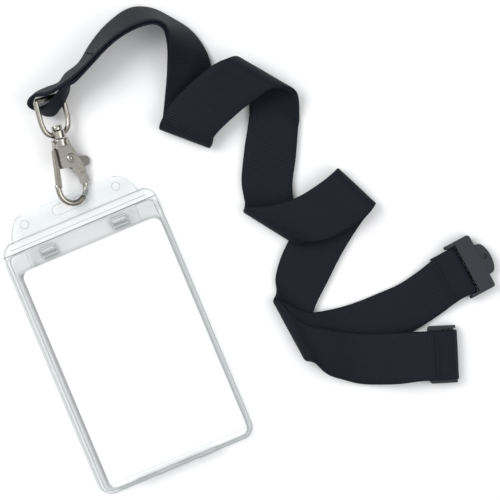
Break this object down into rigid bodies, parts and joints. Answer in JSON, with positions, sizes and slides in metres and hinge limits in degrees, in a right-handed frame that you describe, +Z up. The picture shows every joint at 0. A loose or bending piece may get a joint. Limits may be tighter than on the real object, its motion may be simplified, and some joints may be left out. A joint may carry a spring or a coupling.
{
  "type": "lanyard badge holder",
  "caption": "Clear hinged card case on a swivelling trigger hook, with a woven neck strap laid in loose folds and a breakaway side-release buckle.",
  "frame": {"origin": "centre of the card case's back face between its side edges, on the surface it lies on; the case reaches 47.6 mm below it and 51 mm above it, its header plate further", "axes": "+X to the right across the card case seen from its cover side, +Y along the case towards its header and hook, +Z up out of the cover"},
  "size_m": [0.1634, 0.1718, 0.0188],
  "materials": {
    "clear_plastic": "clear moulded plastic, polished",
    "card_white": "blank white card, satin",
    "pin_steel": "plain steel wire",
    "nickel": "bright nickel plate",
    "spring_steel": "spring wire",
    "webbing": "ribbed woven polyester",
    "thread": "polyester thread",
    "buckle_plastic": "fine satin moulding"
  },
  "bodies": {
    "strap": {"neck_strap": "webbing", "ring_stitching": "thread", "plug_hem_stitching": "thread", "socket_hem_stitching": "thread"},
    "ring": {"swivel_ring": "nickel"},
    "hook": {"hook_body": "nickel", "swivel_rivet": "nickel", "trigger_rivet": "nickel", "trigger_spring": "spring_steel"},
    "trigger": {"trigger": "nickel"},
    "holder": {"rear_shell": "clear_plastic", "id_card": "card_white", "hinge_pin": "pin_steel"},
    "cover": {"front_cover": "clear_plastic"},
    "plug": {"buckle_plug": "buckle_plastic"},
    "socket": {"buckle_socket": "buckle_plastic"}
  },
  "joints": [
    {"name": "ring_tilt", "type": "hinge", "parent": "strap", "child": "ring", "pos_m": [0.00809, 0.09341, 0.00915], "axis": [0.8122, -0.0387, -0.5821], "range_deg": [-6, 6]},
    {"name": "hook_swivel", "type": "hinge", "parent": "ring", "child": "hook", "pos_m": [0.0032, 0.0607, 0.0045], "axis": [0.1464, 0.9794, 0.1392], "continuous": true},
    {"name": "trigger_press", "type": "hinge", "parent": "hook", "child": "trigger", "pos_m": [0.00618, 0.071, 0.00506], "axis": [0.5214, -0.1959, 0.8305], "range_deg": [0, 24], "stiffness_Nm_per_rad": 0.006, "springref_deg": -17.19},
    {"name": "holder_swing", "type": "hinge", "parent": "hook", "child": "holder", "pos_m": [0, 0.0581, 0.0039], "axis": [-1, 0, 0], "range_deg": [-5, 80]},
    {"name": "cover_open", "type": "hinge", "parent": "holder", "child": "cover", "pos_m": [0, -0.0464, 0.0039], "axis": [1, 0, 0], "range_deg": [0, 150]},
    {"name": "plug_tilt", "type": "hinge", "parent": "strap", "child": "plug", "pos_m": [0.1214, -0.0217, 0.0022], "axis": [0.0976, -0.9952, 0], "range_deg": [-20, 60]},
    {"name": "socket_tilt", "type": "hinge", "parent": "strap", "child": "socket", "pos_m": [0.1065, -0.0483, 0.0022], "axis": [-0.342, -0.9397, 0], "range_deg": [0, 120]}
  ]
}
